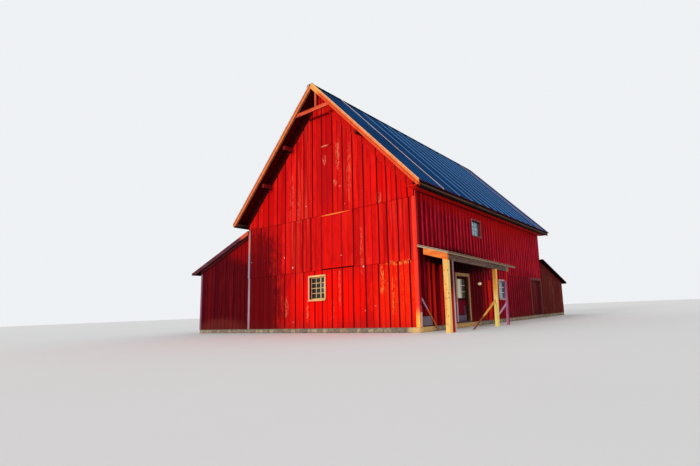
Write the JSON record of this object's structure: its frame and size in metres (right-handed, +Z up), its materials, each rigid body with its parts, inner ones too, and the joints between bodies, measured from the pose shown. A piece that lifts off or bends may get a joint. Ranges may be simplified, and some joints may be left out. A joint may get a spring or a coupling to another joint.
{
  "type": "barn",
  "caption": "Board-sided timber barn with a steep metal roof, a side and a rear lean-to, an open side porch, and hinged entrance and barn doors.",
  "frame": {"origin": "middle of the main block's footprint, on the underside of the foundation", "axes": "+Z up, -Y out of the front gable, +X out of the side wall with the entrance"},
  "size_m": [16.93, 21.12, 11.4501],
  "materials": {
    "red_siding": "weathered paint",
    "dark_siding": "weathered paint",
    "dark_wood": "weathered paint",
    "raw_wood": "rough sawn",
    "roof_metal": "satin",
    "ridge_metal": "satin",
    "weathered_wood": "weathered",
    "pale_trim": "weathered paint",
    "grey_wood": "weathered",
    "stone": "rough",
    "window_glass": "clear",
    "skirting_metal": "matt",
    "lamp_glass": "glossy"
  },
  "bodies": {
    "barn": {"foundation": "stone", "front_wall": "red_siding", "rear_wall": "red_siding", "left_wall": "dark_siding", "right_wall_front": "dark_siding", "right_wall_middle": "dark_siding", "right_wall_rear": "dark_siding", "right_wall_over_doors": "dark_siding", "loft_floor": "raw_wood", "corner_boards": "pale_trim", "roof_left": "roof_metal", "roof_right": "roof_metal", "ridge_cap": "ridge_metal", "front_barge_left": "weathered_wood", "front_barge_right": "weathered_wood", "rear_barges": "weathered_wood", "eave_fascias": "weathered_wood", "end_rafters": "dark_wood", "lookouts": "dark_wood", "peak_brace": "weathered_wood", "loft_doors": "red_siding", "window_frames": "pale_trim", "window_glass": "window_glass", "entrance_frame": "pale_trim", "barn_door_frame": "dark_siding", "porch_roof": "grey_wood", "porch_beam": "grey_wood", "porch_end_rafter": "weathered_wood", "porch_posts": "raw_wood", "painted_posts": "red_siding", "loose_boards": "raw_wood", "skirting_panel": "skirting_metal", "porch_lamp": "lamp_glass", "lean_to_foundation": "stone", "lean_to_end_walls": "red_siding", "lean_to_side_wall": "dark_siding", "lean_to_roof": "roof_metal", "lean_to_barge": "weathered_wood", "rear_foundation": "stone", "rear_side_walls": "dark_siding", "rear_end_wall": "red_siding", "rear_roof": "roof_metal"},
    "entrance_door": {"entrance_door": "dark_siding", "entrance_door_glass": "window_glass"},
    "barn_door": {"barn_door": "dark_siding"}
  },
  "joints": [
    {"name": "entrance_door_hinge", "type": "hinge", "parent": "barn", "child": "entrance_door", "pos_m": [4.976, -3.339, 0.26], "axis": [0, 0, -1], "range_deg": [0, 105]},
    {"name": "barn_door_hinge", "type": "hinge", "parent": "barn", "child": "barn_door", "pos_m": [4.976, 7.301, 0.2], "axis": [0, 0, -1], "range_deg": [0, 90]}
  ]
}
